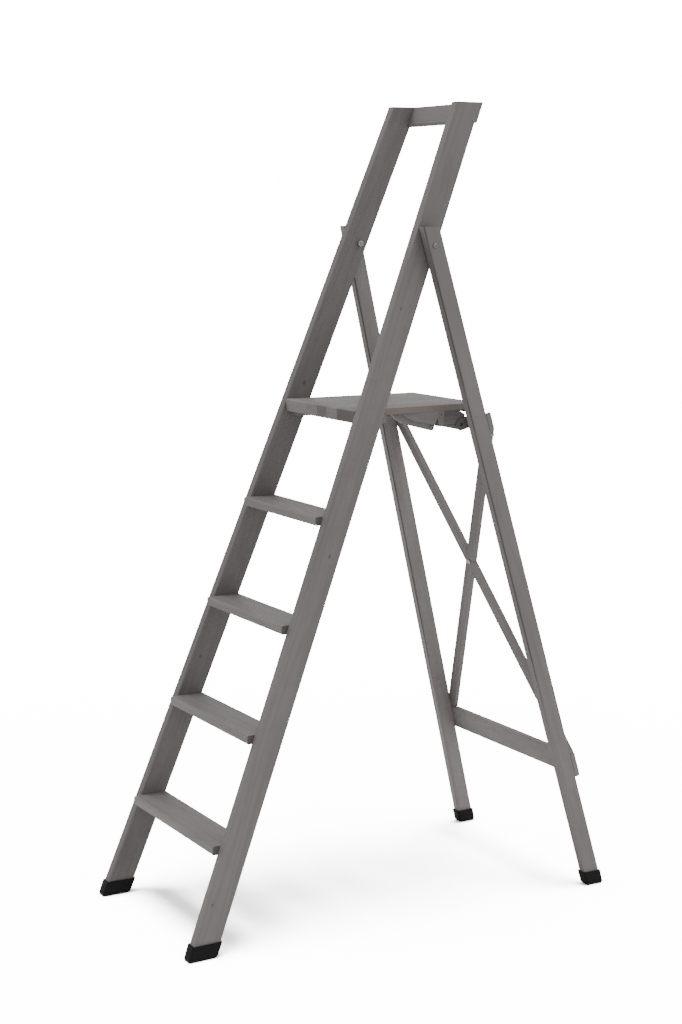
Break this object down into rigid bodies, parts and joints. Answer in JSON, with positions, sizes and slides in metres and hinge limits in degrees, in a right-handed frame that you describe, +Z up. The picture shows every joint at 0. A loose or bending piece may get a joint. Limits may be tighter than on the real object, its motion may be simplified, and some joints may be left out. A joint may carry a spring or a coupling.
{
  "type": "folding step ladder with platform",
  "caption": "Folding wooden step ladder with treads, a tilting platform on side links, cross-braced rear legs and a hand rail across the tops.",
  "frame": {"origin": "centre of the footprint on the floor, at the underside of the feet, with the ladder open", "axes": "+X to the right-hand side, seen from the front by someone about to climb; +Y to the rear legs; +Z up"},
  "size_m": [0.5884, 1.0996, 1.864],
  "materials": {
    "frame_wood": "grey-brown stain, satin",
    "tread_wood": "grey-brown stain, satin",
    "platform_wood": "grey-brown stain on edge-glued strips, satin",
    "dowel_wood": "plain turned dowel",
    "steel": "zinc-plated, satin",
    "bracket_paint": "grey-brown paint, satin",
    "rubber": "matt black"
  },
  "bodies": {
    "front_frame": {"right_stile": "frame_wood", "left_stile": "frame_wood", "tread_1": "tread_wood", "tread_2": "tread_wood", "tread_3": "tread_wood", "tread_4": "tread_wood", "tread_dowels": "dowel_wood", "hand_rail": "frame_wood", "hand_rail_screws": "steel", "front_right_foot": "rubber", "front_left_foot": "rubber", "right_hinge_bolt": "steel", "left_hinge_bolt": "steel", "hinge_washers": "steel", "hinge_nuts": "steel", "platform_pivot_pins": "steel"},
    "rear_frame": {"right_rear_leg": "frame_wood", "left_rear_leg": "frame_wood", "lower_rear_rail": "frame_wood", "rising_brace": "frame_wood", "falling_brace": "frame_wood", "brace_rivet": "steel", "rear_rail_screws": "steel", "brace_screws": "steel", "rear_right_foot": "rubber", "rear_left_foot": "rubber", "right_link_bracket": "bracket_paint", "left_link_bracket": "bracket_paint"},
    "platform": {"platform_board": "platform_wood", "platform_front_batten": "frame_wood", "platform_rear_batten": "frame_wood", "right_cheek": "frame_wood", "left_cheek": "frame_wood", "right_pivot_block": "frame_wood", "left_pivot_block": "frame_wood", "cheek_bolts": "steel", "platform_dowels": "dowel_wood", "knee_pins": "steel"},
    "right_link": {"right_link": "frame_wood", "right_link_pin": "steel"},
    "left_link": {"left_link": "frame_wood", "left_link_pin": "steel"}
  },
  "joints": [
    {"name": "rear_fold", "type": "hinge", "parent": "front_frame", "child": "rear_frame", "pos_m": [0, 0.11221, 1.542], "axis": [-1, 0, 0], "range_deg": [0, 36.6]},
    {"name": "platform_lift", "type": "hinge", "parent": "front_frame", "child": "platform", "pos_m": [0, -0.04578, 1.146], "axis": [1, 0, 0], "range_deg": [0, 68.25]},
    {"name": "right_link_swing", "type": "hinge", "parent": "platform", "child": "right_link", "pos_m": [0, 0.08895, 1.152], "axis": [-1, 0, 0], "range_deg": [0, 165.2]},
    {"name": "left_link_swing", "type": "hinge", "parent": "platform", "child": "left_link", "pos_m": [0, 0.08895, 1.152], "axis": [-1, 0, 0], "range_deg": [0, 165.2]}
  ],
  "couplings": [
    {"joint": "platform_lift", "follows": "rear_fold", "ratio": 1.8648},
    {"joint": "right_link_swing", "follows": "rear_fold", "ratio": 4.5137},
    {"joint": "left_link_swing", "follows": "rear_fold", "ratio": 4.5137}
  ]
}
